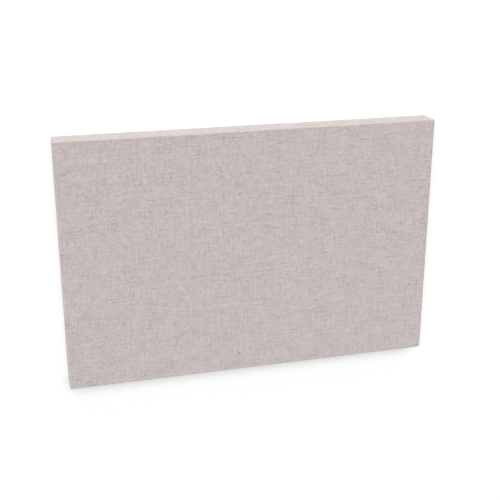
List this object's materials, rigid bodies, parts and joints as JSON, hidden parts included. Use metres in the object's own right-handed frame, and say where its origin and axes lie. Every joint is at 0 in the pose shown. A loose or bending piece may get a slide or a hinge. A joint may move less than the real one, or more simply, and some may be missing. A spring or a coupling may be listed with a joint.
{
  "type": "fabric acoustic wall panel",
  "caption": "Flat rectangular sound-absorbing wall panel: a wool slab in a rebated wooden frame, wrapped in woven cloth that is turned onto the back.",
  "frame": {"origin": "centre of the back face, on the floor that the panel lies on", "axes": "+X along the panel's width, +Y from its bottom edge to its top edge, +Z out of its front"},
  "size_m": [0.9, 0.6, 0.06],
  "materials": {
    "woven_cloth": "heathered matt weave",
    "mineral_wool": "matt fibre",
    "planed_wood": "planed, unfinished",
    "nonwoven_cloth": "matt spunbonded"
  },
  "bodies": {
    "root": {"fabric_cover": "woven_cloth", "absorber_slab": "mineral_wool", "left_stile": "planed_wood", "right_stile": "planed_wood", "top_rail": "planed_wood", "bottom_rail": "planed_wood", "dust_cloth": "nonwoven_cloth"}
  },
  "joints": []
}
